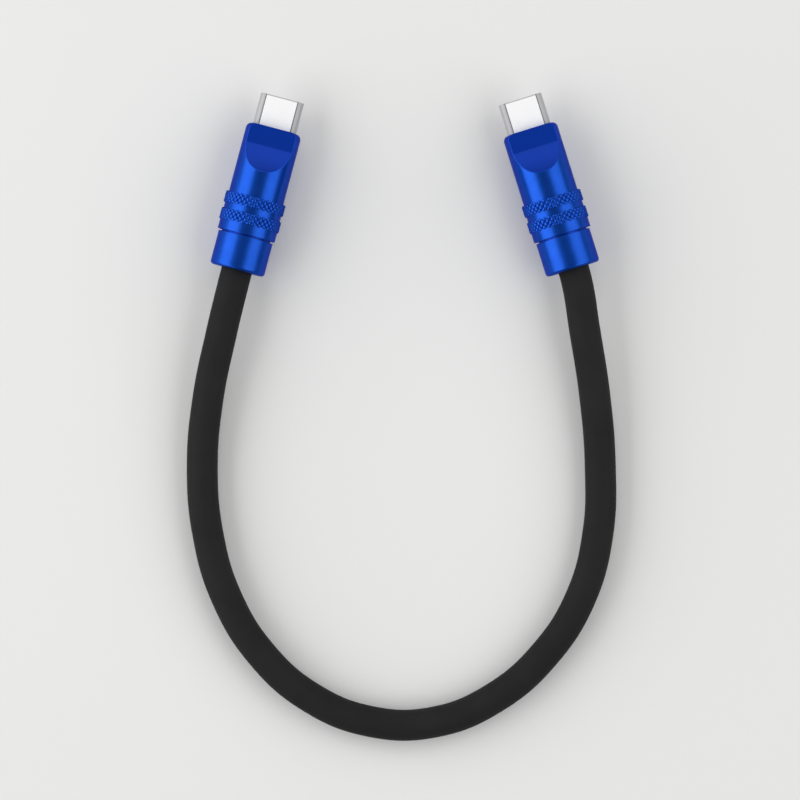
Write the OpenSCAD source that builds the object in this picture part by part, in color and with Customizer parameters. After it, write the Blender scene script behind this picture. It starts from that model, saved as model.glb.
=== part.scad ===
// Short charging cable with the same reversible 24-contact plug on both ends.
// Each plug is built along its own +Y axis, with Y = 0 at the rear face of its collar, the tip at
// the far end and Z = 0 on its axis, and is then laid on the surface at Z = 0 by at_plug().

/* [Plug shell] */
// Width of the steel shell, a standard size
shell_w = 8.25; // [8:0.05:8.5]
// Height of the steel shell, a standard size
shell_h = 2.4; // [2.2:0.05:2.6]
// Thickness of the shell's wall
shell_wall = 0.25; // [0.15:0.05:0.3]
// Length of shell that stands out of the housing
shell_out = 5.9; // [5.5:0.1:7]
// Length of shell held inside the housing
shell_in = 3.4; // [2.4:0.1:4.4]
// Radius of the drawn lip round the shell's mouth
shell_lip = 0.15; // [0.05:0.05:0.2]

/* [Tongue slot and contacts] */
// Wall of the insulator at each side of the tongue slot
slot_side = 0.425; // [0.375:0.025:0.575]
// Height of the tongue slot
slot_h = 0.84; // [0.8:0.02:0.9]
// Depth of the tongue slot from the shell's mouth
slot_depth = 5.3; // [4.8:0.1:5.6]
// How far the insulator lies behind the shell's mouth
insulator_set = 0.3; // [0.1:0.05:0.5]
// Contacts in each row
contacts = 12; // [6:2:12]
// Distance from one contact to the next
contact_pitch = 0.5; // [0.45:0.01:0.5]
// Width of a contact
contact_w = 0.24; // [0.18:0.02:0.28]
// Thickness of a contact
contact_t = 0.1; // [0.06:0.02:0.12]
// How far a contact's bent tip reaches into the slot
contact_reach = 0.08; // [0.04:0.02:0.12]
// Distance from the insulator's front to the contacts' bent tips
contact_back = 1.1; // [0.8:0.1:1.6]
// Length of a contact's tail on the circuit card
contact_tail = 1.6; // [1:0.1:2]
// Thickness of the latch plate
latch_t = 0.2; // [0.14:0.02:0.24]
// Length of the bridge that joins the latch's two arms
latch_bridge = 0.6; // [0.4:0.1:0.8]
// How far each latch hook reaches into the slot
hook_reach = 0.3; // [0.15:0.05:0.4]
// Distance from the insulator's front to the latch hooks
hook_back = 1.4; // [1.2:0.1:2]
// Width of the ground springs
spring_w = 5.6; // [4.6:0.1:6]
// Length of the ground springs
spring_l = 2.4; // [1.8:0.1:2.6]
// Thickness of a ground spring plate
spring_t = 0.1; // [0.08:0.02:0.12]

/* [Front housing] */
// Diameter of the barrel
barrel_d = 10.45; // [10.1:0.05:11]
// Length of the barrel
barrel_l = 13.3; // [12.5:0.1:16]
// Metal above and below the shell at the nose, which sets the two flats
nose_skin = 1.6; // [1.2:0.1:1.8]
// Length of each flat before its run-out
flat_l = 3.65; // [2.5:0.05:4.5]
// Length of each scooped run-out
scoop_l = 4.8; // [4:0.05:5.5]
// Radius of the cutter that scoops the run-outs, which meets the flat at a crease
scoop_r = 10.5; // [8:0.5:14]
// Rounding of the nose's outer edge
nose_round = 1; // [0.3:0.05:1.2]
// Thickness of the nose's front wall
nose_wall = 2; // [1:0.1:2.4]
// Metal left above the cavity behind the nose
cavity_wall = 1; // [0.6:0.1:1.1]
// Step in radius from the barrel down to the spigot behind it
spigot_step = 0.575; // [0.4:0.025:0.7]
// Wall of the spigot
spigot_wall = 0.6; // [0.5:0.05:0.8]

/* [Grip ring] */
// Height of the knurl's tips above the barrel
knurl_rise = 0.525; // [0.4:0.025:0.7]
// Depth of the knurl
knurl_depth = 0.24; // [0.15:0.01:0.26]
// Width of each diamond's flat top, as a share of the diamond
knurl_flat = 0.5; // [0.2:0.05:0.6]
// Diamonds round each knurled band
knurl_teeth = 33; // [24:1:40]
// Rows of diamonds in each band
knurl_rows = 4; // [2:2:6]
// Length of each knurled band
band_l = 2.2; // [1.6:0.1:3]
// Length of the plain groove between the bands
groove_l = 1; // [0.6:0.1:1.6]
// Depth of the plain groove below the knurl's tips
groove_depth = 0.35; // [0.3:0.05:0.5]
// Length of the plain skirt behind the bands
skirt_l = 1.8; // [1:0.1:2.6]
// Depth of the skirt below the knurl's tips
skirt_depth = 0.28; // [0.28:0.02:0.5]

/* [Rear collar] */
// Step in radius from the barrel down to the collar
collar_step = 0.05; // [0:0.025:0.1]
// Length of the collar
collar_l = 6.4; // [5.6:0.1:8]
// Width of the dark seam between collar and grip ring
seam = 0.3; // [0.1:0.05:0.5]
// Thickness of the collar's rear wall
collar_lip = 0.8; // [0.5:0.1:1.2]
// Rounding of the collar's rear edge
collar_round = 0.6; // [0.2:0.05:0.7]
// How far the spigot reaches into the collar
spigot_in = 3; // [2:0.1:3.5]

/* [Inside the housing] */
// Thickness of the circuit card
card_t = 0.8; // [0.6:0.1:0.9]
// Wall of the insulator at each side of the circuit card
card_side = 0.325; // [0.325:0.025:0.525]
// Distance from the card's middle to its outer wire pads
pads_x = 1.6; // [1.2:0.1:1.8]
// Depth of the card's front edge in the insulator
card_seat = 0.6; // [0.4:0.1:0.8]
// Height of the marker chip
chip_h = 0.6; // [0.4:0.1:0.7]
// Side of the marker chip
chip_side = 2.2; // [1.6:0.1:2.6]
// Wall of the brass ferrule
ferrule_wall = 0.5; // [0.4:0.05:0.6]
// Length of the brass ferrule
ferrule_l = 4.4; // [3.6:0.1:4.8]
// Length of the ferrule's inward flange, which stops the jacket
ferrule_flange = 0.4; // [0.3:0.1:0.6]
// Length of the bush's neck inside the housing
bush_neck = 1.8; // [1.2:0.1:2.2]
// Diameter of a bare wire tail
tail_d = 0.34; // [0.26:0.02:0.4]
// Length of the wire tails
tail_l = 2.2; // [1.6:0.1:2.6]

/* [Cable] */
// Diameter of the jacket
jacket_d = 5.8; // [5.4:0.1:6]
// Wall of the jacket
jacket_wall = 0.6; // [0.5:0.05:0.8]
// Wall of the braided shield
shield_wall = 0.25; // [0.15:0.05:0.3]
// Diameter of each bundle of wires
core_d = 1.55; // [1.2:0.05:1.55]
// Straight stretch of cable behind each collar
cable_lead = 2; // [1:0.5:4]

/* [Clearances] */
// Gap round a piece that is pressed or moulded into another
fit_gap = 0.05; // [0.03:0.01:0.08]
// Gap between pieces that are only dropped in beside each other
free_gap = 0.1; // [0.06:0.02:0.14]

/* [How it lies] */
// Half the distance between the two collars' rear faces
exit_x = 31.25; // [28:0.05:36]
// Place of plug a's collar along Y
exit_a_y = -15.9; // [-20:0.1:-10]
// Place of plug b's collar along Y
exit_b_y = -15.7; // [-20:0.1:-10]
// Turn of plug a towards the loop's middle
turn_a = 14.9; // [10:0.1:20]
// Turn of plug b towards the loop's middle
turn_b = 17.4; // [10:0.1:20]

/* [Hidden] */

$fn = 72;
// Overlap that makes a cut run clean through a face
cut = 1;

// Radii of the turned pieces
barrel_r = barrel_d / 2;
spigot_r = barrel_r - spigot_step;
bore_r = spigot_r - spigot_wall;
knurl_r = barrel_r + knurl_rise;
valley_r = knurl_r - knurl_depth;
groove_r = knurl_r - groove_depth;
skirt_r = knurl_r - skirt_depth;
collar_r = barrel_r - collar_step;
sleeve_r = spigot_r + fit_gap;
// Where the knurl's diamonds would come to a point
peak_r = valley_r + knurl_depth / (1 - knurl_flat);

// Stations along a plug, from the collar's rear face to the tip
ring_y = collar_l + seam;
band_rear_y = ring_y + skirt_l;
groove_y = band_rear_y + band_l;
band_front_y = groove_y + groove_l;
barrel_y = band_front_y + band_l;
nose_y = barrel_y + barrel_l;
tip_y = nose_y + shell_out;
shell_y = nose_y - shell_in;
flat_y = nose_y - flat_l;
scoop_y = flat_y - scoop_l;
spigot_y = collar_l - spigot_in;
slot_y = tip_y - slot_depth;

// The flats, and the slopes of their run-outs where they leave the flat and the barrel
flat_z = shell_h / 2 + nose_skin;
flat_drop = barrel_r - flat_z;
scoop_slope = atan(flat_drop / scoop_l);
scoop_half = asin(norm([scoop_l, flat_drop]) / (2 * scoop_r));
slope_low = scoop_slope - scoop_half;
slope_high = scoop_slope + scoop_half;

// The cavity behind the nose, wide enough for the shell
cavity_w = shell_w + 2 * free_gap;
cavity_h = 2 * (flat_z - cavity_wall);
cavity_y = scoop_y - 2 * free_gap;

// Inside of the plug shell, and the insulator in it
mouth_w = shell_w - 2 * shell_wall;
mouth_h = shell_h - 2 * shell_wall;
insulator_h = mouth_h - 2 * fit_gap;
insulator_w = mouth_w - 2 * fit_gap;
slot_w = insulator_w - 2 * slot_side;
card_w = insulator_w - 2 * card_side;
insulator_tip = tip_y - insulator_set;
beam_z = slot_h / 2 + free_gap;
groove_top = beam_z + contact_t + fit_gap;
spring_z = insulator_h / 2 - spring_t;
spring_front = insulator_tip - 3 * free_gap;
latch_x = slot_w / 2 + fit_gap;
latch_arm = insulator_w / 2 - free_gap - latch_x;
latch_y = shell_y + card_seat + 3 * free_gap;
latch_tip = insulator_tip - hook_back / 2;

// Stations of what lies inside the housing
bush_front = spigot_y + bush_neck;
ferrule_y = bush_front + free_gap;
ferrule_front = ferrule_y + ferrule_l;
jacket_r = jacket_d / 2;
jacket_bore = jacket_r - jacket_wall;
shield_r = jacket_bore - fit_gap;
shield_bore = shield_r - shield_wall;
ferrule_bore = jacket_r + fit_gap;
ferrule_r = ferrule_bore + ferrule_wall;
jacket_end = ferrule_front - ferrule_flange - free_gap;
shield_end = ferrule_front + 2 * free_gap;
core_end = shield_end + 4 * free_gap;
tails_y = core_end + free_gap;
card_y = core_end + 2 * free_gap;
card_front = shell_y + card_seat;
contact_y = card_front - contact_tail;
mould_y = bush_front + free_gap;
mould_front = contact_y - free_gap;
chip_y = (card_y + shell_y) / 2 + chip_side / 2;
core_z = core_d / 2 + free_gap;

// How the plugs lie, and the two heights of the cable's centre line
axis_z = knurl_r;
rest_z = jacket_r + fit_gap;

// Free run of the cable from plug a to plug b: place, and share of the way up to the plugs' axis
cable_run = [
    [-34.2, -27.8, 0.82], [-36.7, -39.8, 0.41], [-37.8, -52.3, 0.07], [-36.8, -64.8, 0],
    [-33.3, -76.8, 0], [-26.8, -87.4, 0], [-17.6, -95.5, 0], [-6.4, -100, 0],
    [5.5, -100.1, 0], [16.8, -95.5, 0], [26.2, -87.3, 0], [32.8, -76.8, 0],
    [36, -64.8, 0], [36.4, -51.8, 0.07], [35.3, -38.8, 0.41], [33.4, -26.8, 0.82]
];

function unit(v) = v / norm(v);

// Points of an arc about c, from angle a0 to a1
function arc(c, r, a0, a1, n = 6) =
    [for (i = [0:n]) let (a = a0 + (a1 - a0) * i / n) c + r * [cos(a), sin(a)]];

// A point on a plug's axis, y forward of its collar's rear face
function plug_point(side, y) =
    let (turn = side < 0 ? turn_a : turn_b, exit_y = side < 0 ? exit_a_y : exit_b_y)
    [side * (exit_x - y * sin(turn)), exit_y + y * cos(turn), axis_z];

// Centre line of a layer of the cable that ends y forward of the collars' rear faces
function route(y) = concat(
    [plug_point(-1, y), plug_point(-1, -cable_lead)],
    [for (p = cable_run) [p[0], p[1], rest_z + p[2] * (axis_z - rest_z)]],
    [plug_point(1, -cable_lead), plug_point(1, y)]
);

// Direction of the centre line at point i, halfway between the runs that meet there
function heading(path, i) =
    let (last = len(path) - 1)
    i == 0 ? unit(path[1] - path[0])
    : i == last ? unit(path[last] - path[last - 1])
    : unit(unit(path[i] - path[i - 1]) + unit(path[i + 1] - path[i]));

// Rings of points round the centre line, at radius r and lifted dz off it
function rings(path, r, sides, dz) = [
    for (i = [0:len(path) - 1])
        let (along = heading(path, i), side = unit(cross(along, [0, 0, 1])), up = cross(side, along))
        for (k = [0:sides - 1])
            let (a = 360 * (k + 0.5) / sides)
            path[i] + r * cos(a) * side + (r * sin(a) + dz) * up
];

// Wall triangles between n rings whose points start at index base
function ring_walls(n, sides, base, inward) = [
    for (i = [0:n - 2]) for (k = [0:sides - 1])
        let (
            a = base + i * sides + k,
            b = base + i * sides + (k + 1) % sides,
            faces = [[a, b, b + sides], [a, b + sides, a + sides]]
        )
        for (f = faces) inward ? [f[2], f[1], f[0]] : f
];

// A solid cord of radius r, dz off the route's centre line
module cord(path, r, sides, dz = 0) {
    n = len(path);
    last = (n - 1) * sides;
    polyhedron(
        points = rings(path, r, sides, dz),
        faces = concat(
            ring_walls(n, sides, 0, false),
            [[for (k = [sides - 1:-1:0]) k]],
            [[for (k = [0:sides - 1]) last + k]]
        )
    );
}

// A hollow cord between radii r and bore
module hose(path, r, bore, sides) {
    n = len(path);
    inner = n * sides;
    last = (n - 1) * sides;
    polyhedron(
        points = concat(rings(path, r, sides, 0), rings(path, bore, sides, 0)),
        faces = concat(
            ring_walls(n, sides, 0, false),
            ring_walls(n, sides, inner, true),
            [for (k = [0:sides - 1]) let (m = (k + 1) % sides) [k, inner + k, inner + m, m]],
            [for (k = [0:sides - 1]) let (m = (k + 1) % sides)
                [last + k, last + m, inner + last + m, inner + last + k]]
        )
    );
}

// Lays a plug on the surface at its end of the cable, -1 for plug a and 1 for plug b
module at_plug(side) {
    translate(plug_point(side, 0))
        rotate([0, 0, side * (side < 0 ? turn_a : turn_b)])
            children();
}

// A profile of [radius, y] points turned about the plug's axis
module turned(profile) {
    rotate([-90, 0, 0])
        rotate_extrude()
            polygon(profile);
}

// A block centred across the plug, from y0 to y1 and z0 to z1
module block(w, y0, y1, z0, z1) {
    translate([-w / 2, y0, z0])
        cube([w, y1 - y0, z1 - z0]);
}

// A wall profile of [inset, y] points led round a w by h outline with half-round sides
module round_sided(w, h, profile) {
    for (side = [-1, 1]) {
        translate([side * (w - h) / 2, 0, 0])
            rotate([-90, side < 0 ? 90 : -90, 0])
                rotate_extrude(angle = 180)
                    polygon([for (p = profile) [h / 2 - p[0], p[1]]]);
        mirror([0, 0, side < 0 ? 1 : 0])
            rotate([90, 0, 90])
                linear_extrude(w - h, center = true)
                    polygon([for (p = profile) [p[1], h / 2 - p[0]]]);
    }
}

// A solid bar with half-round sides
module round_bar(w, h, y0, y1) {
    block(w - h, y0, y1, -h / 2, h / 2);
    for (side = [-1, 1])
        translate([side * (w - h) / 2, y0, 0])
            rotate([-90, side < 0 ? 90 : -90, 0])
                rotate_extrude(angle = 180)
                    square([h / 2, y1 - y0]);
}

// Repeats its child at each contact's place
module contact_row() {
    for (i = [0:contacts - 1])
        translate([(i - (contacts - 1) / 2) * contact_pitch, 0, 0])
            children();
}

module plug_shell() {
    lip = arc([shell_lip, tip_y - shell_lip], shell_lip, 180, 90);
    color("gainsboro")
        round_sided(shell_w, shell_h, concat([[0, shell_y]], lip, [
            [shell_wall, tip_y],
            [shell_wall, shell_y]
        ]));
}

module tongue_insulator() {
    color([0.08, 0.08, 0.09])
        difference() {
            round_bar(insulator_w, insulator_h, shell_y, insulator_tip);
            block(slot_w, slot_y, tip_y, -slot_h / 2, slot_h / 2);
            for (side = [0, 1])
                mirror([0, 0, side]) {
                    contact_row()
                        block(contact_w + fit_gap, shell_y - cut, insulator_tip - free_gap,
                            card_t / 2, groove_top);
                    block(spring_w + 2 * free_gap, spring_front - spring_l - free_gap,
                        spring_front + free_gap, spring_z - fit_gap, shell_h);
                }
            block(card_w + 2 * fit_gap, shell_y - cut, card_front + free_gap,
                -card_t / 2 - fit_gap, card_t / 2 + fit_gap);
            block(shell_w, latch_y - free_gap, latch_tip + free_gap,
                -latch_t / 2 - fit_gap, latch_t / 2 + fit_gap);
        }
}

// One contact leaf of the upper row, soldered to the card at its tail and bent down near its tip
module contact_leaf() {
    bump_z = slot_h / 2 - contact_reach;
    bump_y = insulator_tip - contact_back;
    bump_l = 3 * contact_t;
    tail_z = card_t / 2;
    line = [
        [contact_y, tail_z], [card_front - bump_l, tail_z], [card_front + contact_t, beam_z],
        [bump_y - 3 * bump_l, beam_z], [bump_y - bump_l / 2, bump_z], [bump_y + bump_l / 2, bump_z],
        [insulator_tip - bump_l, beam_z]
    ];
    translate([-contact_w / 2, 0, 0])
        rotate([90, 0, 90])
            linear_extrude(contact_w)
                polygon(concat(line, [for (i = [len(line) - 1:-1:0]) line[i] + [0, contact_t]]));
}

module contacts_upper() {
    color("gold")
        contact_row()
            contact_leaf();
}

module contacts_lower() {
    color("gold")
        mirror([0, 0, 1])
            contact_row()
                contact_leaf();
}

// Two arms beside the slot, joined by a bridge behind it, with a hook at each tip
module latch_spring() {
    hook_y = insulator_tip - hook_back;
    arm = [
        [latch_x + latch_arm, latch_y], [latch_x + latch_arm, latch_tip], [latch_x, latch_tip],
        [latch_x - hook_reach, hook_y], [latch_x, hook_y - 3 * hook_reach],
        [latch_x, latch_y + latch_bridge]
    ];
    color("silver")
        translate([0, 0, -latch_t / 2])
            linear_extrude(latch_t)
                polygon(concat(arm, [for (i = [len(arm) - 1:-1:0]) [-arm[i][0], arm[i][1]]]));
}

// A pierced plate on each side of the insulator
module ground_springs() {
    rim = spring_l / 5;
    color("silver")
        for (side = [0, 1])
            mirror([0, 0, side])
                difference() {
                    block(spring_w, spring_front - spring_l, spring_front, spring_z, spring_z + spring_t);
                    for (i = [-1:1])
                        translate([i * (spring_w - rim) / 3, 0, 0])
                            block((spring_w - rim) / 3 - rim, spring_front - spring_l + rim,
                                spring_front - rim, 0, shell_h);
                }
}

module paddle_card() {
    color([0.05, 0.3, 0.12])
        block(card_w, card_y, card_front, -card_t / 2, card_t / 2);
}

// The marker chip with a capacitor on each side of it, and a resistor under the card
module card_chips() {
    small_w = chip_side / 4;
    small_l = chip_side / 2;
    color([0.1, 0.1, 0.1]) {
        block(chip_side, chip_y - chip_side, chip_y, card_t / 2, card_t / 2 + chip_h);
        for (side = [-1, 1])
            translate([side * (chip_side / 2 + 2 * small_w), 0, 0])
                block(small_w, chip_y - 1.5 * small_l, chip_y - small_l / 2, card_t / 2,
                    card_t / 2 + chip_h / 2);
        block(small_l, chip_y - small_l, chip_y - small_l + small_w, -card_t / 2 - chip_h / 2,
            -card_t / 2);
    }
}

// Three bare wires above the card and three below, fanned out to their pads
module wire_tails() {
    tail_z = (card_t + tail_d) / 2;
    root = 0.3 * core_d;
    color("orange")
        for (side = [-1, 1]) for (i = [-1:1])
            translate([i * root, tails_y, side * tail_z])
                rotate([-90, 0, -atan(i * (pads_x - root) / tail_l)])
                    cylinder(d = tail_d, h = tail_l, $fn = 24);
}

// Round behind the cavity and flat inside it, with pockets for the ferrule, card, wires and chips
module inner_mould() {
    mould_r = bore_r - fit_gap;
    pocket_w = card_w - 2 * card_side;
    chip_gap = chip_h + card_t / 2 + free_gap;
    color([0.85, 0.85, 0.8])
        difference() {
            union() {
                turned([[0, mould_y], [mould_r, mould_y], [mould_r, cavity_y], [0, cavity_y]]);
                block(cavity_w - 2 * fit_gap, cavity_y, mould_front,
                    fit_gap - cavity_h / 2, cavity_h / 2 - fit_gap);
            }
            turned([
                [0, mould_y - cut], [ferrule_r + fit_gap, mould_y - cut],
                [ferrule_r + fit_gap, shield_end + free_gap], [0, shield_end + free_gap]
            ]);
            block(card_w + 2 * fit_gap, card_y - free_gap, nose_y,
                -card_t / 2 - fit_gap, card_t / 2 + fit_gap);
            block(pocket_w, ferrule_front, tails_y + tail_l + 3 * free_gap,
                -core_z - core_d / 2, core_z + core_d / 2);
            block(pocket_w, chip_y - chip_side - free_gap, chip_y + free_gap, -chip_gap, chip_gap);
        }
}

module crimp_ferrule() {
    dent = ferrule_wall / 4;
    crimp = ferrule_l / 6;
    color("goldenrod")
        turned([
            [ferrule_bore, ferrule_y], [ferrule_r, ferrule_y],
            [ferrule_r, ferrule_y + crimp], [ferrule_r - dent, ferrule_y + 1.5 * crimp],
            [ferrule_r - dent, ferrule_y + 2.5 * crimp], [ferrule_r, ferrule_y + 3 * crimp],
            [ferrule_r, ferrule_front], [shield_r + fit_gap, ferrule_front],
            [shield_r + fit_gap, ferrule_front - ferrule_flange],
            [ferrule_bore, ferrule_front - ferrule_flange]
        ]);
}

// Cuts one flat and its scooped run-out above the nose
module flat_and_scoop() {
    middle = [flat_y, flat_z] + scoop_r * [sin(slope_low), cos(slope_low)];
    rotate([90, 0, 90])
        linear_extrude(2 * barrel_d, center = true)
            polygon(concat(
                [[nose_y + cut, flat_z], [nose_y + cut, barrel_d], [scoop_y, barrel_d]],
                arc(middle, scoop_r, 270 - slope_high, 270 - slope_low, 12)
            ));
}

module front_housing() {
    color([0.06, 0.25, 0.72])
        difference() {
            turned(concat(
                [[bore_r, spigot_y], [spigot_r, spigot_y], [spigot_r, barrel_y], [barrel_r, barrel_y]],
                arc([barrel_r - nose_round, nose_y - nose_round], nose_round, 0, 90, 8),
                [[0, nose_y], [0, cavity_y], [bore_r, cavity_y]]
            ));
            for (side = [0, 1])
                mirror([0, 0, side])
                    flat_and_scoop();
            block(cavity_w, cavity_y - cut, nose_y - nose_wall, -cavity_h / 2, cavity_h / 2);
            round_bar(shell_w + 2 * fit_gap, shell_h + 2 * fit_gap, nose_y - nose_wall - cut, nose_y + cut);
        }
}

// Radius of the pointed knurl at row j, point k: peaks and valleys alternate both ways
function knurl_at(j, k) =
    (j == 0 || j > knurl_rows) ? valley_r : (j + k) % 2 == 0 ? peak_r : valley_r;

// One band of diamond knurling with its points turned off, a solid disc from y to y + band_l
module knurl_band(y) {
    around = 2 * knurl_teeth;
    row = band_l / knurl_rows;
    heights = concat([0], [for (j = [1:knurl_rows]) (j - 0.5) * row], [band_l]);
    top = (knurl_rows + 1) * around;
    translate([0, y, 0])
        rotate([-90, 0, 0])
            intersection() {
                polyhedron(
                    points = [
                        for (j = [0:knurl_rows + 1]) for (k = [0:around - 1])
                            let (r = knurl_at(j, k), a = 360 * k / around)
                            [r * cos(a), r * sin(a), heights[j]]
                    ],
                    faces = concat(
                        [[for (k = [0:around - 1]) k]],
                        [[for (k = [around - 1:-1:0]) top + k]],
                        [for (j = [0:knurl_rows]) for (k = [0:around - 1])
                            let (
                                a = j * around + k,
                                b = j * around + (k + 1) % around,
                                c = b + around,
                                d = a + around
                            )
                            for (f = (j + k) % 2 == 0 ? [[a, d, b], [b, d, c]] : [[a, d, c], [a, c, b]]) f]
                    )
                );
                translate([0, 0, -cut])
                    cylinder(r = knurl_r, h = band_l + 2 * cut, $fn = around);
            }
}

module grip_ring() {
    bite = band_l / 4;
    color([0.06, 0.25, 0.72])
        difference() {
            union() {
                turned([
                    [0, ring_y], [skirt_r, ring_y],
                    [skirt_r, band_rear_y + bite], [0, band_rear_y + bite]
                ]);
                knurl_band(band_rear_y);
                turned([
                    [0, groove_y - bite], [groove_r, groove_y - bite],
                    [groove_r, band_front_y + bite], [0, band_front_y + bite]
                ]);
                knurl_band(band_front_y);
            }
            turned([
                [0, ring_y - cut], [sleeve_r, ring_y - cut],
                [sleeve_r, barrel_y + cut], [0, barrel_y + cut]
            ]);
        }
}

module rear_collar() {
    hole_r = jacket_r + 3 * free_gap;
    color([0.06, 0.25, 0.72])
        turned(concat(
            [[sleeve_r, collar_l], [sleeve_r, collar_lip], [hole_r, collar_lip], [hole_r, 0]],
            arc([collar_r - collar_round, collar_round], collar_round, 270, 360),
            [[collar_r, collar_l]]
        ));
}

module cable_bush() {
    rear = collar_lip + free_gap;
    shoulder = spigot_y - free_gap;
    bush_bore = jacket_r + fit_gap;
    color([0.12, 0.12, 0.12])
        turned([
            [bush_bore, rear], [sleeve_r - fit_gap, rear], [sleeve_r - fit_gap, shoulder],
            [bore_r - fit_gap, shoulder], [bore_r - fit_gap, bush_front], [bush_bore, bush_front]
        ]);
}

module cable_jacket() {
    color([0.16, 0.16, 0.16])
        hose(route(jacket_end), jacket_r, jacket_bore, 12);
}

module cable_shield() {
    color("lightgray")
        hose(route(shield_end), shield_r, shield_bore, 12);
}

module power_core() {
    color("firebrick")
        cord(route(core_end), core_d / 2, 8, core_z);
}

module signal_core() {
    color("ivory")
        cord(route(core_end), core_d / 2, 8, -core_z);
}

at_plug(-1) plug_shell();  // plug_shell_a
at_plug(-1) tongue_insulator();  // tongue_insulator_a
at_plug(-1) contacts_upper();  // contacts_upper_a
at_plug(-1) contacts_lower();  // contacts_lower_a
at_plug(-1) latch_spring();  // latch_spring_a
at_plug(-1) ground_springs();  // ground_springs_a
at_plug(-1) paddle_card();  // paddle_card_a
at_plug(-1) card_chips();  // card_chips_a
at_plug(-1) wire_tails();  // wire_tails_a
at_plug(-1) inner_mould();  // inner_mould_a
at_plug(-1) crimp_ferrule();  // crimp_ferrule_a
at_plug(-1) front_housing();  // front_housing_a
at_plug(-1) grip_ring();  // grip_ring_a
at_plug(-1) rear_collar();  // rear_collar_a
at_plug(-1) cable_bush();  // cable_bush_a
at_plug(1) plug_shell();  // plug_shell_b
at_plug(1) tongue_insulator();  // tongue_insulator_b
at_plug(1) contacts_upper();  // contacts_upper_b
at_plug(1) contacts_lower();  // contacts_lower_b
at_plug(1) latch_spring();  // latch_spring_b
at_plug(1) ground_springs();  // ground_springs_b
at_plug(1) paddle_card();  // paddle_card_b
at_plug(1) card_chips();  // card_chips_b
at_plug(1) wire_tails();  // wire_tails_b
at_plug(1) inner_mould();  // inner_mould_b
at_plug(1) crimp_ferrule();  // crimp_ferrule_b
at_plug(1) front_housing();  // front_housing_b
at_plug(1) grip_ring();  // grip_ring_b
at_plug(1) rear_collar();  // rear_collar_b
at_plug(1) cable_bush();  // cable_bush_b
cable_jacket();
cable_shield();
power_core();
signal_core();
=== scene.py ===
"""A short charging cable with a knurled metal plug on each end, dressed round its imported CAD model."""

from math import asin, atan2, cos, hypot, pi, radians, sin, sqrt, tan

import bmesh
import bpy
from mathutils import Matrix, Vector


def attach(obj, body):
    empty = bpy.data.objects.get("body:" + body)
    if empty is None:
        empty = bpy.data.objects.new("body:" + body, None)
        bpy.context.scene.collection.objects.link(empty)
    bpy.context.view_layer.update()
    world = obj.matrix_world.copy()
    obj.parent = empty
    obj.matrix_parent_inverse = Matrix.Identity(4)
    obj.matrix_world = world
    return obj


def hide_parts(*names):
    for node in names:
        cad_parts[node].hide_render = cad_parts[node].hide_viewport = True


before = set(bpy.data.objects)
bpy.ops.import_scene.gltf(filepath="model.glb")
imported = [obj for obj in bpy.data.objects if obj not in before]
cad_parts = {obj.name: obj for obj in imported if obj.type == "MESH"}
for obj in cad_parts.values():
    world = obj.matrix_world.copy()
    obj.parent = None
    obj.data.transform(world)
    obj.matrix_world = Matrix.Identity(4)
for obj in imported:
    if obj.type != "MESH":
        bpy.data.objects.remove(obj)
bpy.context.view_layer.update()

scene = bpy.context.scene

# Pieces are modelled in millimetres on the plug's own axis, which runs along +Y from the rear face
# of the collar, and are then laid in their places in metres.
MM = 0.001
# How close a point has to be to count as lying on a line, a ring or a plane
NEAR = 0.01
# Points closer than this are one
SAME_POINT = 0.0005
# What a half-round side leaves of the edge that it would otherwise use up
SIDE_LEFT = 0.001
# How wide a plain turned edge is broken
EDGE_BREAK = 0.1

# The plug shell
SHELL_W, SHELL_H, SHELL_WALL, SHELL_LIP = 8.25, 2.4, 0.25, 0.15
SHELL_REAR, TIP = 23.8, 33.1
SHELL_FLAT_HALF = (SHELL_W - SHELL_H) / 2
SHELL_SIDE_STEPS, SHELL_LIP_STEPS = 20, 4
# The front housing
BARREL_R, SPIGOT_R, BORE_R = 5.225, 4.65, 4.05
SPIGOT_REAR, BARREL_REAR, NOSE = 3.4, 13.9, 27.2
NOSE_ROUND, NOSE_WALL = 1.0, 2.0
FLAT_Z, FLAT_REAR, SCOOP_REAR, SCOOP_R = 2.8, 23.55, 18.75, 10.5
CAVITY_W, CAVITY_H, CAVITY_REAR = 8.45, 3.6, 18.55
BARREL_STEPS, CUTTER_STEPS = 120, 180
# How wide the rim of the milled faces is broken, and the turn in degrees from which it counts as a rim
SCOOP_EDGE, SCOOP_RIM_TURN = 0.1, 12
# The grip ring
RING_REAR, SLEEVE_R, SKIRT_R, GROOVE_R = 6.7, 4.7, 5.47, 5.4
KNURL_TIP_R, KNURL_VALLEY_R = 5.75, 5.51
BANDS = ((8.5, 10.7), (11.7, 13.9))
KNURL_TEETH, KNURL_ROWS = 33, 4
# How wide the gently rounded top of a knurl is, as a share of the knurl, and the radius at its rim
KNURL_TOP, KNURL_RIM_R = 0.82, 5.64
# The most that the chords between the ring's points lie inside its radii
KNURL_SAG = 0.03
# The rear collar
COLLAR_R, COLLAR_FRONT, COLLAR_LIP, COLLAR_ROUND, COLLAR_HOLE_R = 5.175, 6.4, 0.8, 0.6, 3.2
COLLAR_HOLE_ROUND, COLLAR_STEPS = 0.15, 128
# The gap round a piece that is pressed into another
FIT = 0.05

# How the two plugs lie: side, place of the collar's rear face and turn about Z in degrees
AXIS_Z, CABLE_Z = 5.75, 2.95
PLUGS = {"a": (-31.25, -15.9, -14.9), "b": (31.25, -15.7, 17.4)}

# The cable's diameter, and its length between the plugs in metres
CABLE_D, CABLE_LENGTH = 5.8, 0.21
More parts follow.
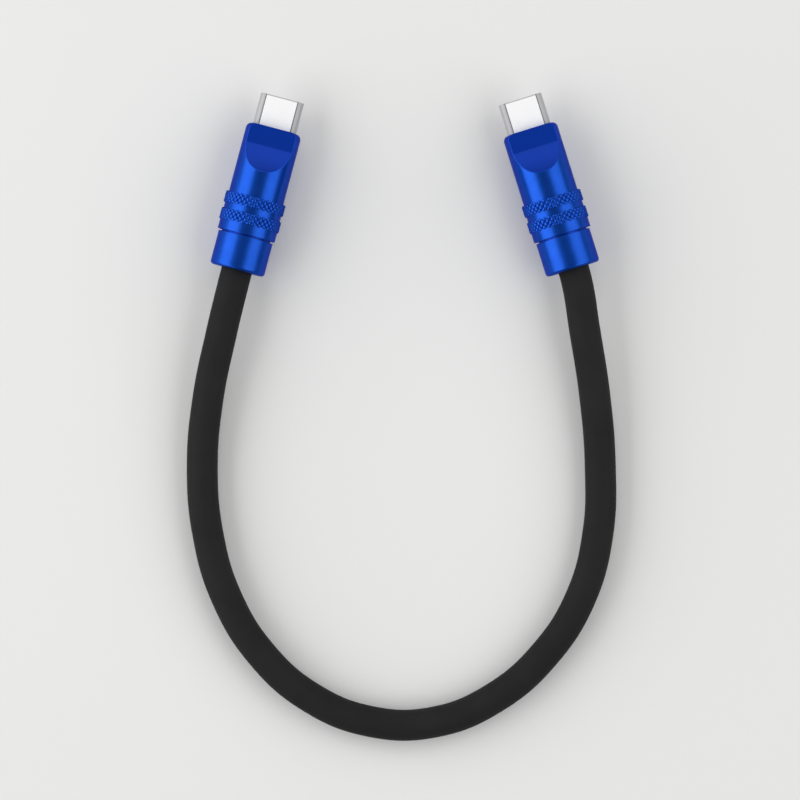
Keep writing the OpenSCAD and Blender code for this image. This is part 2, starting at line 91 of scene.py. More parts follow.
# Where the cable runs between its plugs, with its share of the way up to the plugs' axis
CABLE_RUN = (
    (-34.2, -27.8, 0.82), (-36.7, -39.8, 0.41), (-37.8, -52.3, 0.07), (-36.8, -64.8, 0),
    (-33.3, -76.8, 0), (-26.8, -87.4, 0), (-17.6, -95.5, 0), (-6.4, -100, 0), (5.5, -100.1, 0),
    (16.8, -95.5, 0), (26.2, -87.3, 0), (32.8, -76.8, 0), (36, -64.8, 0), (36.4, -51.8, 0.07),
    (35.3, -38.8, 0.41), (33.4, -26.8, 0.82),
)
# Where on a plug's axis the jacket ends, and where it starts to bend away from that axis
CABLE_INSIDE, CABLE_LEAD = 4.0, -2.0


def plug_matrix(end):
    """Where a plug lies, in metres."""
    x, y, turn = PLUGS[end]
    return (
        Matrix.Translation((x * MM, y * MM, AXIS_Z * MM))
        @ Matrix.Rotation(radians(turn), 4, "Z")
        @ Matrix.Scale(MM, 4)
    )


# --- Camera, floor and lights -----------------------------------------------------------------

# The middle and the width of the view, at the height where that width is taken
VIEW_MIDDLE, VIEW_WIDTH, VIEW_PLANE = (-0.93, -40.03), 149.0, 4.2
LENS, SENSOR = 200, 36
# Brightness of the grey surround, and the floor's size in metres
SURROUND, FLOOR_SIZE = 0.3, 6


def set_camera():
    """A long lens straight above the loop."""
    height = (VIEW_WIDTH * LENS / SENSOR + VIEW_PLANE) * MM
    bpy.ops.object.camera_add(
        location=(VIEW_MIDDLE[0] * MM, VIEW_MIDDLE[1] * MM, height), rotation=(0, 0, 0)
    )
    camera = bpy.context.object
    camera.name = "camera"
    camera.data.lens, camera.data.sensor_width = LENS, SENSOR
    camera.data.clip_start, camera.data.clip_end = 0.01, 10
    scene.camera = camera


def softbox(name, bearing, start, end, distance, width, brightness):
    """A panel of light aimed at the loop, from start to end in degrees off the vertical.

    The bearing is the side it stands on, in degrees from +X towards +Y. Its distance and width are
    in metres.
    """
    tilt = (start + end) / 2
    aim = Matrix.Rotation(radians(bearing), 4, "Z") @ Matrix.Rotation(radians(tilt), 4, "Y")
    middle = Vector((0, VIEW_MIDDLE[1] * MM, 0))
    bpy.ops.object.light_add(
        type="AREA", location=middle + aim @ Vector((0, 0, distance)), rotation=aim.to_euler()
    )
    light = bpy.context.object
    light.name = name
    light.data.shape = "RECTANGLE"
    height = 2 * distance * tan(radians(end - start) / 2)
    light.data.size, light.data.size_y = height, width
    light.data.energy = brightness * pi * height * width


def set_studio():
    """A pale floor, an even grey surround, a softbox on each side and a small one past the tips."""
    scene.view_settings.view_transform = "Standard"
    world = bpy.data.worlds.new("studio")
    world.use_nodes = True
    surround = world.node_tree.nodes["Background"]
    surround.inputs["Color"].default_value = (1, 1, 1, 1)
    surround.inputs["Strength"].default_value = SURROUND
    scene.world = world
    softbox(
        "softbox_left", bearing=180, start=32, end=86, distance=0.7, width=1.1, brightness=2.1
    )
    softbox(
        "softbox_right", bearing=0, start=24, end=72, distance=0.75, width=1.1, brightness=1.6
    )
    softbox(
        "softbox_front", bearing=90, start=22, end=80, distance=0.7, width=0.3, brightness=1.1
    )

    bpy.ops.object.select_all(action="DESELECT")
    bpy.ops.mesh.primitive_plane_add(size=FLOOR_SIZE, location=(0, 0, 0))
    floor = bpy.context.object
    floor.name = "floor"
    floor.data.materials.append(floor_paint())


# --- Effects that several finishes share -------------------------------------------------------


# The part of a noise texture's range that most of it lies in
NOISE_LOW, NOISE_HIGH = 0.3, 0.7


def noise_group(name, setting, detail):
    """A shader group of noise spread between two values, with one setting of its own.

    The group's place and its setting are still to be wired to the noise.
    """
    group = bpy.data.node_groups.new(name, "ShaderNodeTree")
    sockets = [
        ("Place", "NodeSocketVector", None),
        setting,
        ("Low", "NodeSocketFloat", 0.0),
        ("High", "NodeSocketFloat", 1.0),
    ]
    for label, kind, value in sockets:
        made = group.interface.new_socket(label, in_out="INPUT", socket_type=kind)
        if value is not None:
            made.default_value = value
    group.interface.new_socket("Value", in_out="OUTPUT", socket_type="NodeSocketFloat")
    start, end = group.nodes.new("NodeGroupInput"), group.nodes.new("NodeGroupOutput")
    noise = group.nodes.new("ShaderNodeTexNoise")
    noise.inputs["Detail"].default_value = detail
    spread = group.nodes.new("ShaderNodeMapRange")
    spread.inputs["From Min"].default_value = NOISE_LOW
    spread.inputs["From Max"].default_value = NOISE_HIGH
    link = group.links.new
    link(noise.outputs["Fac"], spread.inputs["Value"])
    link(start.outputs["Low"], spread.inputs["To Min"])
    link(start.outputs["High"], spread.inputs["To Max"])
    link(spread.outputs["Result"], end.inputs["Value"])
    return group, start, noise


def grain_group():
    """Fine even grain: noise of a given size."""
    group, start, noise = noise_group("fine_grain", ("Scale", "NodeSocketFloat", 1000.0), 3)
    group.links.new(start.outputs["Place"], noise.inputs["Vector"])
    group.links.new(start.outputs["Scale"], noise.inputs["Scale"])
    return group


def streak_group():
    """Fine streaks: noise stretched along an axis, such as the marks of turning or of drawing."""
    group, start, noise = noise_group(
        "tool_streaks", ("Stretch", "NodeSocketVector", (1.0, 1.0, 1.0)), 4
    )
    noise.inputs["Scale"].default_value = 1
    stretch = group.nodes.new("ShaderNodeVectorMath")
    stretch.operation = "MULTIPLY"
    group.links.new(start.outputs["Place"], stretch.inputs[0])
    group.links.new(start.outputs["Stretch"], stretch.inputs[1])
    group.links.new(stretch.outputs["Vector"], noise.inputs["Vector"])
    return group


FINE_GRAIN, TOOL_STREAKS = grain_group(), streak_group()


class Finish:
    """A material round one Principled shader, with short names for what its nodes do."""

    def __init__(self, name, **sockets):
        self.material = bpy.data.materials.new(name)
        self.material.use_nodes = True
        self.tree = self.material.node_tree
        self.shader = self.tree.nodes["Principled BSDF"]
        for label, value in sockets.items():
            self.shader.inputs[label.replace("_", " ")].default_value = value

    def node(self, kind, **settings):
        """Adds a node to the material."""
        made = self.tree.nodes.new(kind)
        for label, value in settings.items():
            setattr(made, label, value)
        return made

    def wire(self, source, target):
        self.tree.links.new(source, target)

    def on_object(self):
        """A place on the piece, in metres."""
        return self.node("ShaderNodeTexCoord").outputs["Object"]

    def on_plug(self):
        """A place on the piece before it was laid on its plug, in millimetres."""
        return self.node("ShaderNodeAttribute", attribute_name="plug_place").outputs["Vector"]

    def effect(self, group, place, **values):
        """Uses one of the shared groups."""
        made = self.node("ShaderNodeGroup", node_tree=group)
        self.wire(place, made.inputs["Place"])
        for label, value in values.items():
            made.inputs[label].default_value = value
        return made.outputs["Value"]

    def grain(self, place, scale, low=0.0, high=1.0):
        return self.effect(FINE_GRAIN, place, Scale=scale, Low=low, High=high)

    def streaks(self, place, stretch, low=0.0, high=1.0):
        return self.effect(TOOL_STREAKS, place, Stretch=stretch, Low=low, High=high)

    def feed(self, target, value):
        """Puts a number or a colour on a socket, or wires another node's output to it."""
        if isinstance(value, bpy.types.NodeSocket):
            self.wire(value, target)
        else:
            target.default_value = (*value, 1) if isinstance(value, tuple) else value

    def blend(self, factor, first, second):
        """Mixes two colours."""
        mix = self.node("ShaderNodeMix", data_type="RGBA")
        for socket, value in zip(("Factor_Float", "A_Color", "B_Color"), (factor, first, second)):
            self.feed(next(s for s in mix.inputs if s.identifier == socket), value)
        return next(s for s in mix.outputs if s.identifier == "Result_Color")

    def sums(self, operation, *values):
        """One sum or comparison of numbers."""
        made = self.node("ShaderNodeMath", operation=operation)
        for socket, value in zip(made.inputs, values):
            self.feed(socket, value)
        return made.outputs["Value"]

    def length_of(self, place, axes):
        """How far a place is from the origin along some of its axes."""
        kept = self.node("ShaderNodeVectorMath", operation="MULTIPLY")
        self.wire(place, kept.inputs[0])
        kept.inputs[1].default_value = axes
        far = self.node("ShaderNodeVectorMath", operation="LENGTH")
        self.wire(kept.outputs["Vector"], far.inputs[0])
        return far.outputs["Value"]

    def colour(self, source):
        self.wire(source, self.shader.inputs["Base Color"])

    def roughness(self, source):
        self.wire(source, self.shader.inputs["Roughness"])

    def bump(self, height, strength, distance):
        made = self.node("ShaderNodeBump")
        made.inputs["Strength"].default_value = strength
        made.inputs["Distance"].default_value = distance * MM
        self.wire(height, made.inputs["Height"])
        self.wire(made.outputs["Normal"], self.shader.inputs["Normal"])


# --- Finishes ----------------------------------------------------------------------------------

# Axes that a place is measured along
ASIDE, ALONG, ACROSS = (1, 0, 0), (0, 1, 0), (1, 0, 1)
# How deep inside the barrel a face has to lie to be a milled one
MILLED_DEPTH = 0.03
# How much rougher than the turned barrel the milled faces and the collar are
MILLED_ROUGHER, COLLAR_ROUGHER = 0.12, 0.03
# Half the width of the painted dark line along the shell, a painted reflection where its flats turn into
# its round sides
SHADE_LINE_HALF = 0.08
# How far the painted shade on the shell's mouth reaches back
LIP_SHADE_REACH = 0.2
# Painted shade for the shell's round sides and mouth, and the colour of its painted dark reflection line
STEEL_SIDE_SHADE, STEEL_SHADE_LINE = (0.42, 0.42, 0.43), (0.12, 0.12, 0.125)
JACKET_DARK, JACKET_LIGHT = (0.017, 0.017, 0.0175), (0.021, 0.021, 0.0215)


def floor_paint():
    """A pale matt floor, faintly mottled."""
    paint = Finish("floor_paint", Roughness=0.85, Specular_IOR_Level=0.2)
    place = paint.on_object()
    paint.colour(paint.blend(paint.grain(place, 3.0), (0.76, 0.76, 0.75), (0.78, 0.78, 0.775)))
    return paint.material


def anodised_blue():
    """Satin blue aluminium: turned, fine blasted and dyed."""
    metal = Finish(
        "anodised_blue", Metallic=1.0, Coat_Weight=0.18, Coat_Roughness=0.22, Coat_IOR=1.5,
        Specular_Tint=(0.25, 0.35, 0.9, 1),
    )
    place = metal.on_plug()
    from_axis, ahead = metal.length_of(place, ACROSS), metal.length_of(place, ALONG)
    inside_barrel = metal.sums("LESS_THAN", from_axis, BARREL_R - MILLED_DEPTH)
    on_collar = metal.sums("LESS_THAN", ahead, COLLAR_FRONT + FIT)
    milled = metal.sums("GREATER_THAN", metal.sums("SUBTRACT", inside_barrel, on_collar), 0.5)
    dye = metal.blend(metal.grain(place, 0.5), (0.002, 0.057, 0.4), (0.004, 0.065, 0.44))
    metal.colour(metal.blend(milled, dye, (0.002, 0.042, 0.41)))
    rough = metal.streaks(place, (0.6, 14.0, 0.6), 0.29, 0.37)
    rough = metal.sums("MULTIPLY_ADD", milled, MILLED_ROUGHER, rough)
    metal.roughness(metal.sums("MULTIPLY_ADD", on_collar, COLLAR_ROUGHER, rough))
    metal.bump(metal.grain(place, 16.0), 0.12, 0.02)
    return metal.material


def shell_steel():
    """Bright stainless shell, drawn lengthwise and finely tumbled, with painted shade on its round sides
    and mouth and a painted dark reflection line where its flats turn into its sides.
    """
    steel = Finish("shell_steel", Metallic=0.3)
    place = steel.on_plug()
    flats = steel.blend(steel.grain(place, 7.0), (0.95, 0.95, 0.955), (0.99, 0.99, 0.99))
    # Painted shade: the round sides and the mouth are painted a dull grey instead of the flats' near
    # white
    aside = steel.length_of(place, ASIDE)
    on_side = steel.sums("GREATER_THAN", aside, SHELL_FLAT_HALF)
    on_lip = steel.sums("GREATER_THAN", steel.length_of(place, ALONG), TIP - LIP_SHADE_REACH)
    shaded_sides = steel.blend(steel.sums("MAXIMUM", on_side, on_lip), flats, STEEL_SIDE_SHADE)
    # Painted reflection: a thin dark line is painted along each edge of the flats
    shade_line_mask = steel.sums("COMPARE", aside, SHELL_FLAT_HALF + SHADE_LINE_HALF, SHADE_LINE_HALF)
    steel.colour(steel.blend(shade_line_mask, shaded_sides, STEEL_SHADE_LINE))
    steel.roughness(steel.streaks(place, (9.0, 0.5, 9.0), 0.42, 0.55))
    steel.bump(steel.grain(place, 12.0), 0.1, 0.02)
    return steel.material


def jacket_black():
    """Smooth matt jacket with a faint mottle and a fine skin."""
    rubber = Finish("jacket_black", Specular_IOR_Level=0.04)
    place = rubber.on_object()
    rubber.colour(rubber.blend(rubber.grain(place, 120), JACKET_DARK, JACKET_LIGHT))
    rubber.roughness(rubber.grain(place, 900, 0.5, 0.62))
    rubber.bump(rubber.grain(place, 5200), 0.18, 0.03)
    return rubber.material


def moulded(name, first, second, rough, grain_scale):
    """A plain moulded or dipped material, mottled between two colours, with a fine skin."""
    made = Finish(name)
    place = made.on_object()
    made.colour(made.blend(made.grain(place, grain_scale / 8), first, second))
    made.roughness(made.grain(place, grain_scale, rough - 0.06, rough + 0.06))
    made.bump(made.grain(place, grain_scale), 0.15, 0.02)
    return made.material


def plated(name, first, second, rough):
    """A bare or plated metal, clouded between two colours."""
    made = Finish(name, Metallic=1.0)
    place = made.on_object()
    made.colour(made.blend(made.grain(place, 900), first, second))
    made.roughness(made.grain(place, 2600, rough - 0.05, rough + 0.05))
    made.bump(made.grain(place, 6000), 0.08, 0.01)
    return made.material


# --- Modelling helpers -------------------------------------------------------------------------


def select_only(*pieces):
    """Leaves edit mode and selects these pieces alone; the first is the active one."""
    if bpy.context.mode != "OBJECT":
        bpy.ops.object.mode_set(mode="OBJECT")
    bpy.ops.object.select_all(action="DESELECT")
    for piece in pieces:
        piece.select_set(True)
    if pieces:
        bpy.context.view_layer.objects.active = pieces[0]


def edit(piece):
    """Opens one piece in edit mode."""
    select_only(piece)
    bpy.ops.object.mode_set(mode="EDIT")


def pick(piece, kind, wanted):
    """In edit mode, selects the VERT, EDGE or FACE elements that pass a test."""
    bpy.ops.mesh.select_mode(type=kind)
    mesh = bmesh.from_edit_mesh(piece.data)
    for group in (mesh.verts, mesh.edges, mesh.faces):
        for item in group:
            item.select = False
    for item in {"VERT": mesh.verts, "EDGE": mesh.edges, "FACE": mesh.faces}[kind]:
        if wanted(item):
            item.select_set(True)
    bmesh.update_edit_mesh(piece.data)


def off_axis(point):
    """How far a point is from the plug's axis."""
    return hypot(point.x, point.z)


def on_ring(radius, y):
    """A test for the edges of one ring round the plug's axis."""

    def test(edge):
        return all(
            abs(off_axis(v.co) - radius) < NEAR and abs(v.co.y - y) < NEAR for v in edge.verts
        )

    return test


def arc(middle_r, middle_y, size, angles):
    """Rings of an arc about a middle, by their angles in degrees from straight outwards."""
    return [(middle_r + size * cos(radians(a)), middle_y + size * sin(radians(a))) for a in angles]


def finish_mesh(piece, name, smooth_to=30, crease=None):
    """Merges doubles, turns the faces outwards and shades the piece; a crease stays sharp."""
    edit(piece)
    bpy.ops.mesh.select_all(action="SELECT")
    bpy.ops.mesh.remove_doubles(threshold=SAME_POINT)
    bpy.ops.mesh.normals_make_consistent(inside=False)
    # A thin tube can come out of this inside out
    if bmesh.from_edit_mesh(piece.data).calc_volume(signed=True) < 0:
        bpy.ops.mesh.flip_normals()
    select_only(piece)
    bpy.ops.object.shade_smooth_by_angle(angle=radians(smooth_to))
    if crease:
        edit(piece)
        pick(piece, "EDGE", crease)
        bpy.ops.mesh.mark_sharp()
        select_only(piece)
    even = piece.modifiers.new("even", "WEIGHTED_NORMAL")
    even.keep_sharp = True
    bpy.ops.object.modifier_apply(modifier=even.name)
    piece.name = piece.data.name = name
    return piece


def turned(stations, segments, tube):
    """Turns rings of (radius, y) about the plug's axis; a tube is closed from last ring to first."""
    select_only()
    radius, y = stations[0]
    bpy.ops.mesh.primitive_circle_add(
        vertices=segments, radius=radius, location=(0, y, 0), rotation=(pi / 2, 0, 0)
    )
    piece = bpy.context.object
    bpy.ops.object.transform_apply(location=True, rotation=True, scale=True)
    edit(piece)
    bpy.ops.mesh.select_all(action="SELECT")
    for next_radius, next_y in stations[1:]:
        bpy.ops.mesh.extrude_region_move(TRANSFORM_OT_translate={"value": (0, next_y - y, 0)})
        share = next_radius / radius
        bpy.ops.transform.resize(value=(share, 1, share), center_override=(0, 0, 0))
        radius, y = next_radius, next_y
    ends = [on_ring(*stations[0]), on_ring(radius, y)]
    if tube:
        pick(piece, "EDGE", lambda e: ends[0](e) or ends[1](e))
        bpy.ops.mesh.bridge_edge_loops()
    else:
        for end in ends:
            pick(piece, "EDGE", end)
            bpy.ops.mesh.edge_face_add()
    select_only(piece)
    return piece


def round_ring(piece, radius, y, width, steps=3):
    """Rounds the edge of one ring of a turned piece."""
    edit(piece)
    pick(piece, "EDGE", on_ring(radius, y))
    bpy.ops.mesh.bevel(offset=width, segments=steps, affect="EDGES")
    select_only(piece)


def bar(width, height, y0, y1, corner, steps=12):
    """A bar along the plug's axis, with its long edges rounded unless the corner is 0."""
    select_only()
    bpy.ops.mesh.primitive_cube_add(size=1, location=(0, (y0 + y1) / 2, 0))
    piece = bpy.context.object
    piece.scale = (width, y1 - y0, height)
    bpy.ops.object.transform_apply(location=True, rotation=True, scale=True)
    if corner:
        edit(piece)
        pick(piece, "EDGE", lambda e: abs(e.verts[0].co.y - e.verts[1].co.y) > (y1 - y0) / 2)
        bpy.ops.mesh.bevel(offset=corner, segments=steps, affect="EDGES")
        select_only(piece)
    return piece


def put_in_order(piece):
    """Orders a mesh's points and faces by their places, so that each run goes on the same."""
    points = sorted(piece.data.vertices, key=lambda v: v.co.yzx[:])
    rank = {point.index: place for place, point in enumerate(points)}
    faces = []
    for face in piece.data.polygons:
        corners = [rank[index] for index in face.vertices]
        first = corners.index(min(corners))
        faces.append(corners[first:] + corners[:first])
    ordered = bmesh.new()
    made = [ordered.verts.new(point.co) for point in points]
    for corners in sorted(faces):
        ordered.faces.new([made[corner] for corner in corners])
    ordered.to_mesh(piece.data)
    ordered.free()


def cut_away(piece, *cutters):
    """Cuts closed shapes out of a piece and removes them."""
    for solid in (piece, *cutters):
        edit(solid)
        bpy.ops.mesh.select_all(action="SELECT")
        bpy.ops.mesh.normals_make_consistent(inside=False)
    for cutter in cutters:
        select_only(piece)
        cut = piece.modifiers.new("cut", "BOOLEAN")
        cut.operation, cut.solver, cut.object = "DIFFERENCE", "EXACT", cutter
        bpy.ops.object.modifier_apply(modifier=cut.name)
        bpy.data.objects.remove(cutter)
        put_in_order(piece)


def on_both_plugs(piece, name, node, finish):
    """Copies a piece onto each plug, with a mesh of its own that knows its place on the plug."""
    piece.data.materials.clear()
    piece.data.materials.append(finish)
    laid = []
    for end in PLUGS:
        copy = piece.copy()
        copy.data = piece.data.copy()
        copy.name = copy.data.name = f"{name}_{end}"
        scene.collection.objects.link(copy)
        place = copy.data.attributes.new("plug_place", "FLOAT_VECTOR", "POINT")
        place.data.foreach_set("vector", [c for v in copy.data.vertices for c in v.co])
        copy.data.transform(plug_matrix(end))
        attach(copy, "root")
        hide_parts(f"{node}_{end}")
        laid.append(copy)
    bpy.data.objects.remove(piece)
    return laid


# --- Pieces of a plug --------------------------------------------------------------------------


def make_shell():
    """A drawn tube with half-round sides and a rounded mouth."""
    shell = bar(
        SHELL_W, SHELL_H, SHELL_REAR, TIP, corner=SHELL_H / 2 - SIDE_LEFT, steps=SHELL_SIDE_STEPS
    )
    edit(shell)
    pick(shell, "FACE", lambda f: abs(f.normal.y) > max(abs(f.normal.x), abs(f.normal.z)))
    bpy.ops.mesh.delete(type="ONLY_FACE")
    select_only(shell)
    wall = shell.modifiers.new("wall", "SOLIDIFY")
    wall.thickness, wall.offset, wall.use_even_offset = SHELL_WALL, -1, True
    bpy.ops.object.modifier_apply(modifier=wall.name)
    edit(shell)

    def outer_mouth(edge):
        for v in edge.verts:
            aside = max(abs(v.co.x) - SHELL_FLAT_HALF, 0)
            if v.co.y < TIP - NEAR or hypot(aside, v.co.z) < SHELL_H / 2 - SHELL_WALL / 2:
                return False
        return True

    pick(shell, "EDGE", outer_mouth)
    bpy.ops.mesh.bevel(offset=SHELL_LIP, segments=SHELL_LIP_STEPS, affect="EDGES")
    return finish_mesh(shell, "shell", smooth_to=35)


def scoop_crease():
    """The angle between the milled flat and its run-out, where the cutter's arc meets it."""
    length, drop = FLAT_REAR - SCOOP_REAR, BARREL_R - FLAT_Z
    return atan2(drop, length) - asin(hypot(length, drop) / 2 / SCOOP_R)


def scoop_depth(y):
    """Height of the milled flat, and of its scooped run-out, at y along the plug."""
    if y >= FLAT_REAR:
        return FLAT_Z
    back = FLAT_REAR + SCOOP_R * sin(scoop_crease()) - y
    return FLAT_Z + SCOOP_R * cos(scoop_crease()) - sqrt(max(SCOOP_R**2 - back**2, 0))


def scoop_cutter():
    """The shape that the milling cutter sweeps above the nose: its arc, then the flat ahead of it."""
    crease, top, ahead, reach = scoop_crease(), BARREL_R + 1, NOSE + 1, 2 * BARREL_R
    select_only()
    bpy.ops.mesh.primitive_circle_add(
        vertices=CUTTER_STEPS, radius=SCOOP_R, location=(0, 0, 0), rotation=(pi / 2, 0, pi / 2)
    )
    cutter = bpy.context.object
    bpy.ops.object.transform_apply(location=True, rotation=True, scale=True)
    centre = (-reach / 2, FLAT_REAR + SCOOP_R * sin(crease), FLAT_Z + SCOOP_R * cos(crease))
    cutter.data.transform(Matrix.Translation(centre) @ Matrix.Rotation(-crease, 4, "X"))
    edit(cutter)
    pick(cutter, "VERT", lambda v: v.co.y > FLAT_REAR + NEAR or v.co.z > top)
    bpy.ops.mesh.delete(type="VERT")
    pick(cutter, "VERT", lambda v: v.co.z < FLAT_Z + NEAR)
    bpy.ops.mesh.extrude_region_move(TRANSFORM_OT_translate={"value": (0, ahead - FLAT_REAR, 0)})
    bpy.ops.mesh.extrude_region_move(TRANSFORM_OT_translate={"value": (0, 0, top - FLAT_Z)})
    bpy.ops.mesh.select_all(action="SELECT")
    bpy.ops.mesh.edge_face_add()
    bpy.ops.mesh.extrude_region_move(TRANSFORM_OT_translate={"value": (reach, 0, 0)})
    select_only(cutter)
    return cutter


def make_housing():
    """A turned barrel with a rounded nose, two scooped flats, and a slot for the shell."""
    nose = arc(BARREL_R - NOSE_ROUND, NOSE - NOSE_ROUND, NOSE_ROUND, range(0, 91, 10))
    housing = turned(
        [
            (BORE_R, CAVITY_REAR), (BORE_R, SPIGOT_REAR), (SPIGOT_R, SPIGOT_REAR),
            (SPIGOT_R, BARREL_REAR), (BARREL_R, BARREL_REAR), *nose,
        ],
        BARREL_STEPS, tube=False,
    )
    above, below = scoop_cutter(), scoop_cutter()
    below.data.transform(Matrix.Rotation(pi, 4, "Y"))
    wall_rear, slot_h, past = NOSE - NOSE_WALL, SHELL_H + 2 * FIT, 1
    slot = bar(
        SHELL_W + 2 * FIT, slot_h, wall_rear - past, NOSE + past, corner=slot_h / 2 - SIDE_LEFT
    )
    cavity = bar(CAVITY_W, CAVITY_H, CAVITY_REAR - past, wall_rear, corner=0)
    cut_away(housing, above, below, cavity, slot)
    rim_front = NOSE - NOSE_ROUND / 8

    def on_cut(v):
        depth = abs(v.co.z) - scoop_depth(v.co.y)
        return SCOOP_REAR - 5 * NEAR < v.co.y <= rim_front and abs(depth) < 2 * NEAR

    def milled_rim(edge):
        """An edge where a milled face meets the turned barrel, short of the nose's last strip."""
        if len(edge.link_faces) != 2 or not all(on_cut(v) for v in edge.verts):
            return False
        return edge.calc_face_angle(0) > radians(SCOOP_RIM_TURN)

    def crease(edge):
        """An edge where the cutter's arc meets the flat."""
        return all(
            abs(v.co.y - FLAT_REAR) < NEAR and abs(abs(v.co.z) - FLAT_Z) < NEAR
            for v in edge.verts
        )

    # The rim's crowded points are merged, the rim is broken, and what that leaves too small goes
    edit(housing)
    pick(housing, "EDGE", milled_rim)
    bpy.ops.mesh.remove_doubles(threshold=SCOOP_EDGE / 2)
    pick(housing, "EDGE", milled_rim)
    bpy.ops.mesh.bevel(
        offset=SCOOP_EDGE, segments=2, affect="EDGES", clamp_overlap=False, loop_slide=False
    )
    bpy.ops.mesh.select_all(action="SELECT")
    bpy.ops.mesh.dissolve_degenerate(threshold=SCOOP_EDGE / 4)
    pick(housing, "VERT", lambda v: len(v.link_edges) == 2)
    bpy.ops.mesh.dissolve_verts()
    return finish_mesh(housing, "housing", crease=crease)


def make_grip_ring():
    """A ring with two bands of diamond knurling, a plain groove and a plain skirt."""
    around = 2 * KNURL_TEETH
    rows = []
    stations = [(SKIRT_R, RING_REAR), (SKIRT_R, BANDS[0][0])]
    for start, end in BANDS:
        pitch = (end - start) / KNURL_ROWS
        band_rows = [start + (j + 0.5) * pitch for j in range(KNURL_ROWS)]
        stations += [(KNURL_VALLEY_R, y) for y in (start, *band_rows, end)]
        if end != BANDS[-1][1]:
            stations += [(GROOVE_R, end), (GROOVE_R, BANDS[-1][0])]
        rows += band_rows
    stations += [(SLEEVE_R, BANDS[-1][1]), (SLEEVE_R, RING_REAR)]
    ring = turned(stations, around, tube=True)

    def tip(v):
        """Every second point of a row, and of the next row the points between."""
        row = next((j for j, y in enumerate(rows) if abs(v.co.y - y) < NEAR), None)
        if row is None or off_axis(v.co) < KNURL_VALLEY_R - NEAR:
            return False
        return (row + round(atan2(v.co.x, v.co.z) / (2 * pi) * around)) % 2 == 0

    def band_face(f):
        middle = f.calc_center_median()
        outside = off_axis(middle) > KNURL_VALLEY_R - KNURL_SAG
        return outside and any(a < middle.y < b for a, b in BANDS)

    def knurl_top(f):
        return all(off_axis(v.co) > KNURL_RIM_R - KNURL_SAG for v in f.verts)

    # Peaks are pulled up and cut off at the rim of the knurls' tops, which then rise to their middles
    edit(ring)
    pick(ring, "VERT", tip)
    peak = KNURL_VALLEY_R + (KNURL_RIM_R - KNURL_VALLEY_R) / (1 - KNURL_TOP)
    rise = peak / KNURL_VALLEY_R
    bpy.ops.transform.resize(value=(rise, 1, rise), center_override=(0, 0, 0))
    pick(ring, "FACE", band_face)
    bpy.ops.mesh.quads_convert_to_tris(quad_method="SHORTEST_DIAGONAL", ngon_method="BEAUTY")
    pick(ring, "VERT", lambda v: off_axis(v.co) > peak - NEAR)
    bpy.ops.mesh.bevel(
        offset_pct=100 * KNURL_TOP, offset_type="PERCENT", segments=1, affect="VERTICES"
    )
    bpy.ops.mesh.select_all(action="SELECT")
    bpy.ops.mesh.normals_make_consistent(inside=False)
    pick(ring, "FACE", knurl_top)
    bpy.ops.mesh.poke(offset=KNURL_TIP_R - KNURL_RIM_R)
    select_only(ring)
    round_ring(ring, SKIRT_R, RING_REAR, EDGE_BREAK)
    return finish_mesh(ring, "grip_ring", smooth_to=60)


def make_collar():
    """A plain sleeve with a rounded rear edge round the cable's hole."""
    rear = arc(COLLAR_R - COLLAR_ROUND, COLLAR_ROUND, COLLAR_ROUND, range(-90, 1, 15))
    collar = turned(
        [
            (COLLAR_HOLE_R, COLLAR_LIP), (COLLAR_HOLE_R, 0), *rear,
            (COLLAR_R, COLLAR_FRONT), (SLEEVE_R, COLLAR_FRONT), (SLEEVE_R, COLLAR_LIP),
        ],
        COLLAR_STEPS, tube=True,
    )
    round_ring(collar, COLLAR_HOLE_R, 0, COLLAR_HOLE_ROUND)
    round_ring(collar, COLLAR_R, COLLAR_FRONT, EDGE_BREAK)
    return finish_mesh(collar, "collar")


# --- Cable -------------------------------------------------------------------------------------


def plug_point(end, y):
    """A point on a plug's axis, in metres."""
    return plug_matrix(end) @ Vector((0, y, 0))


def cable_route():
    """The jacket's centre line from plug a to plug b, in metres."""
    free = [
        Vector((x, y, CABLE_Z + share * (AXIS_Z - CABLE_Z))) * MM for x, y, share in CABLE_RUN
    ]
    return [
        plug_point("a", CABLE_INSIDE), plug_point("a", CABLE_LEAD), *free,
        plug_point("b", CABLE_LEAD), plug_point("b", CABLE_INSIDE),
    ]


def make_jacket(finish):
    """The jacket in one smooth loop, from inside one collar to inside the other."""
    select_only()
    bpy.ops.curve.primitive_bezier_curve_add()
    jacket = bpy.context.object
    jacket.name = jacket.data.name = "jacket_loop"
    jacket.location = (0, 0, 0)
    route = cable_route()
    line = jacket.data.splines[0]
    line.bezier_points.add(len(route) - len(line.bezier_points))
    for knot, place in zip(line.bezier_points, route):
        knot.co = place
        knot.handle_left_type = knot.handle_right_type = "AUTO"
    jacket.data.dimensions = "3D"
    jacket.data.twist_mode = "Z_UP"
    jacket.data.resolution_u = 10
    jacket.data.bevel_depth = CABLE_D / 2 * MM
    jacket.data.bevel_resolution = 8
    jacket.data.use_fill_caps = True
    line.use_smooth = True
    jacket.data.materials.append(finish)
    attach(jacket, "root")
    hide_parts("cable_jacket")
    return jacket


# --- Making the scene --------------------------------------------------------------------------

set_camera()
set_studio()
jacket = make_jacket(jacket_black())

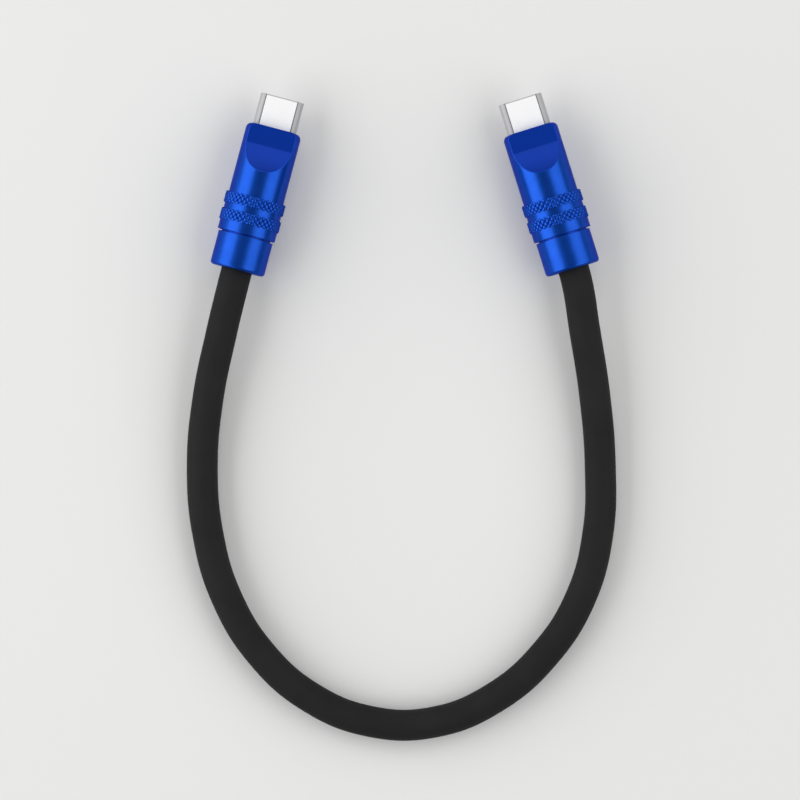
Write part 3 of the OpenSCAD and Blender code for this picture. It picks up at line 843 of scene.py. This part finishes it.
blue = anodised_blue()
pieces = []
pieces += on_both_plugs(make_shell(), "shell", "plug_shell", shell_steel())
pieces += on_both_plugs(make_housing(), "housing", "front_housing", blue)
pieces += on_both_plugs(make_grip_ring(), "knurled_ring", "grip_ring", blue)
pieces += on_both_plugs(make_collar(), "collar", "rear_collar", blue)

# Finishes of the pieces inside, by the start of their nodes' names
finishes = {
    "tongue_insulator": moulded(
        "insulator_black", (0.012, 0.012, 0.013), (0.02, 0.02, 0.022), 0.38, 5000
    ),
    "contacts": plated("contact_gold", (0.83, 0.6, 0.2), (0.95, 0.74, 0.34), 0.24),
    "latch_spring": plated("spring_steel", (0.55, 0.55, 0.57), (0.68, 0.68, 0.7), 0.3),
    "ground_springs": plated("spring_plate", (0.6, 0.6, 0.6), (0.7, 0.69, 0.68), 0.32),
    "paddle_card": moulded("card_green", (0.01, 0.12, 0.04), (0.02, 0.22, 0.08), 0.35, 2600),
    "card_chips": moulded("chip_black", (0.02, 0.02, 0.02), (0.04, 0.04, 0.04), 0.6, 4000),
    "wire_tails": plated("wire_copper", (0.8, 0.42, 0.24), (0.95, 0.62, 0.42), 0.3),
    "inner_mould": moulded("mould_white", (0.68, 0.68, 0.63), (0.78, 0.78, 0.73), 0.5, 2000),
    "crimp_ferrule": plated("ferrule_brass", (0.72, 0.5, 0.2), (0.85, 0.66, 0.32), 0.3),
    "cable_bush": moulded("bush_rubber", (0.018, 0.018, 0.018), (0.028, 0.028, 0.028), 0.65, 4500),
    "cable_shield": plated("braid_tin", (0.5, 0.5, 0.5), (0.75, 0.75, 0.74), 0.35),
    "power_core": moulded("core_red", (0.4, 0.02, 0.02), (0.5, 0.03, 0.03), 0.45, 2400),
    "signal_core": moulded("core_white", (0.7, 0.7, 0.68), (0.8, 0.8, 0.78), 0.45, 2400),
}
for name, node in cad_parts.items():
    for start, finish in finishes.items():
        if name.startswith(start):
            node.data.materials.clear()
            node.data.materials.append(finish)

far_plug = [p for p in pieces if p.name.endswith("_b")]
far_plug += [n for name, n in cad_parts.items() if name.endswith("_b") and not n.hide_render]
